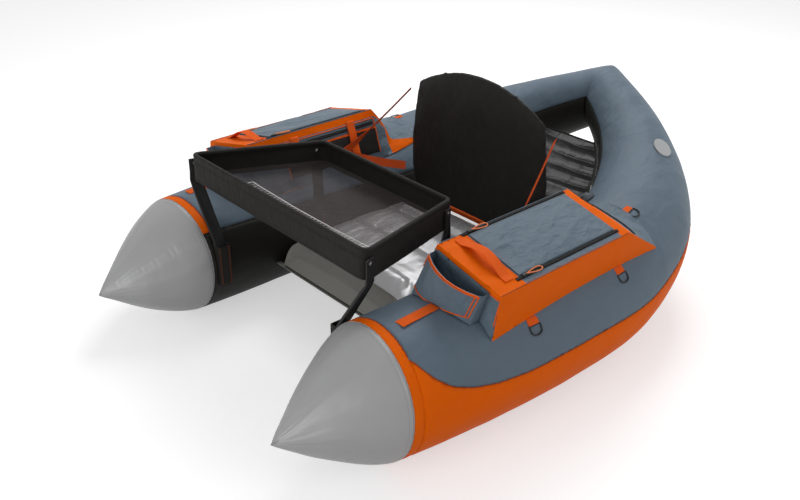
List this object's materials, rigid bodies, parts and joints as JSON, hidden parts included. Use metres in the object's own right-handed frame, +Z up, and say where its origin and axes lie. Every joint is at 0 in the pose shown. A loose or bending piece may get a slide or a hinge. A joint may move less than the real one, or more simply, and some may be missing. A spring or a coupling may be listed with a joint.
{
  "type": "float tube",
  "caption": "One-person fishing float tube: two upturned air tubes joined at the tail, seat, folding backrest, lift-off apron on four legs, two side bags and D-rings.",
  "frame": {"origin": "centre of the part's bounding box on its lowest plane, where the hull rests", "axes": "+Z up, +Y towards the closed tail, -Y the way the sitter faces, +X the sitter's left"},
  "size_m": [1.1496, 1.5476, 0.6],
  "materials": {
    "aluminium_tube": "satin",
    "badge_plate": "gloss",
    "black_fabric": "matte",
    "black_metal": "satin",
    "black_plastic": "satin",
    "bladder_cloth": "satin",
    "dark_mesh": "matte",
    "grey_fabric": "satin",
    "orange_fabric": "satin",
    "orange_webbing": "matte",
    "silver_fabric": "satin"
  },
  "bodies": {
    "hull": {"backrest_strap_left": "orange_webbing", "backrest_strap_right": "orange_webbing", "badge_left": "badge_plate", "badge_right": "badge_plate", "bag_body_left": "orange_fabric", "bag_body_right": "orange_fabric", "bag_handle_left": "orange_webbing", "bag_handle_right": "orange_webbing", "bag_pocket_left": "grey_fabric", "bag_pocket_right": "grey_fabric", "bladder_left": "bladder_cloth", "bladder_right": "bladder_cloth", "front_tab_left": "orange_webbing", "front_tab_right": "orange_webbing", "inner_panel_left": "black_fabric", "inner_panel_right": "black_fabric", "leg_sleeve_front_left": "black_fabric", "leg_sleeve_front_right": "black_fabric", "leg_sleeve_rear_left": "black_fabric", "leg_sleeve_rear_right": "black_fabric", "nose_cone_left": "silver_fabric", "nose_cone_right": "silver_fabric", "rear_deck": "black_fabric", "ring_tab_1_left": "orange_webbing", "ring_tab_1_right": "orange_webbing", "ring_tab_2_left": "orange_webbing", "ring_tab_2_right": "orange_webbing", "ring_tab_3_left": "orange_webbing", "ring_tab_3_right": "orange_webbing", "seat_base": "black_fabric", "seat_cushion": "silver_fabric", "seat_rear_band": "orange_webbing", "side_panel": "orange_fabric", "top_panel": "grey_fabric", "valve_left": "black_plastic", "valve_right": "black_plastic"},
    "apron": {"apron_floor": "dark_mesh", "apron_frame": "aluminium_tube", "apron_wall": "black_fabric", "leg_front_left": "black_metal", "leg_front_right": "black_metal", "leg_rear_left": "black_metal", "leg_rear_right": "black_metal"},
    "backrest": {"backrest_board": "black_plastic", "backrest_cushion": "black_fabric"},
    "lid_left": {"bag_lid_left": "grey_fabric"},
    "zip_inner_left": {"zip_pull_inner_left": "black_plastic"},
    "zip_outer_left": {"zip_pull_outer_left": "black_plastic"},
    "ring_1_left": {"d_ring_1_left": "black_metal"},
    "ring_2_left": {"d_ring_2_left": "black_metal"},
    "ring_3_left": {"d_ring_3_left": "black_metal"},
    "cap_left": {"valve_cap_left": "black_plastic"},
    "lid_right": {"bag_lid_right": "grey_fabric"},
    "zip_inner_right": {"zip_pull_inner_right": "black_plastic"},
    "zip_outer_right": {"zip_pull_outer_right": "black_plastic"},
    "ring_1_right": {"d_ring_1_right": "black_metal"},
    "ring_2_right": {"d_ring_2_right": "black_metal"},
    "ring_3_right": {"d_ring_3_right": "black_metal"},
    "cap_right": {"valve_cap_right": "black_plastic"}
  },
  "joints": [
    {"name": "backrest_fold", "type": "hinge", "parent": "hull", "child": "backrest", "pos_m": [0, 0.15306, 0.20398], "axis": [1, 0, 0], "range_deg": [-8, 42]},
    {"name": "apron_lift", "type": "slide", "parent": "hull", "child": "apron", "axis": [0, 0, 1], "range_m": [0, 0.15]},
    {"name": "lid_open_left", "type": "hinge", "parent": "hull", "child": "lid_left", "pos_m": [0.437, 0.06395, 0.40191], "axis": [-0.9717, 0, 0.2362], "range_deg": [0, 100]},
    {"name": "zip_run_inner_left", "type": "slide", "parent": "hull", "child": "zip_inner_left", "axis": [0, 1, 0], "range_m": [0, 0.265]},
    {"name": "zip_run_outer_left", "type": "slide", "parent": "hull", "child": "zip_outer_left", "axis": [0, 1, 0], "range_m": [0, 0.265]},
    {"name": "ring_1_swing_left", "type": "hinge", "parent": "hull", "child": "ring_1_left", "pos_m": [0.53352, -0.21576, 0.26096], "axis": [-0.0676, -0.9974, -0.0239], "range_deg": [0, 115]},
    {"name": "ring_2_swing_left", "type": "hinge", "parent": "hull", "child": "ring_2_left", "pos_m": [0.53373, 0.08291, 0.27394], "axis": [0.0368, -0.9991, -0.0215], "range_deg": [0, 115]},
    {"name": "ring_3_swing_left", "type": "hinge", "parent": "hull", "child": "ring_3_left", "pos_m": [0.4267, 0.25275, 0.33819], "axis": [0.1801, -0.9755, -0.1266], "range_deg": [0, 80]},
    {"name": "cap_turn_left", "type": "hinge", "parent": "hull", "child": "cap_left", "pos_m": [0.27714, 0.27276, 0.31506], "axis": [-0.6259, -0.2435, 0.7409], "range_deg": [0, 90]},
    {"name": "lid_open_right", "type": "hinge", "parent": "hull", "child": "lid_right", "pos_m": [-0.437, 0.06395, 0.40191], "axis": [-0.9717, 0, -0.2362], "range_deg": [0, 100]},
    {"name": "zip_run_inner_right", "type": "slide", "parent": "hull", "child": "zip_inner_right", "axis": [0, 1, 0], "range_m": [0, 0.265]},
    {"name": "zip_run_outer_right", "type": "slide", "parent": "hull", "child": "zip_outer_right", "axis": [0, 1, 0], "range_m": [0, 0.265]},
    {"name": "ring_1_swing_right", "type": "hinge", "parent": "hull", "child": "ring_1_right", "pos_m": [-0.53352, -0.21576, 0.26096], "axis": [-0.0676, 0.9974, 0.0239], "range_deg": [0, 115]},
    {"name": "ring_2_swing_right", "type": "hinge", "parent": "hull", "child": "ring_2_right", "pos_m": [-0.53373, 0.08291, 0.27394], "axis": [0.0368, 0.9991, 0.0215], "range_deg": [0, 115]},
    {"name": "ring_3_swing_right", "type": "hinge", "parent": "hull", "child": "ring_3_right", "pos_m": [-0.4267, 0.25275, 0.33819], "axis": [0.1801, 0.9755, 0.1266], "range_deg": [0, 80]},
    {"name": "cap_turn_right", "type": "hinge", "parent": "hull", "child": "cap_right", "pos_m": [-0.27714, 0.27276, 0.31506], "axis": [0.6259, -0.2435, 0.7409], "range_deg": [0, 90]}
  ],
  "couplings": [
    {"joint": "zip_run_inner_left", "follows": "lid_open_left", "m_per_rad": 0.15},
    {"joint": "zip_run_outer_left", "follows": "lid_open_left", "m_per_rad": 0.15},
    {"joint": "zip_run_inner_right", "follows": "lid_open_right", "m_per_rad": 0.15},
    {"joint": "zip_run_outer_right", "follows": "lid_open_right", "m_per_rad": 0.15}
  ]
}
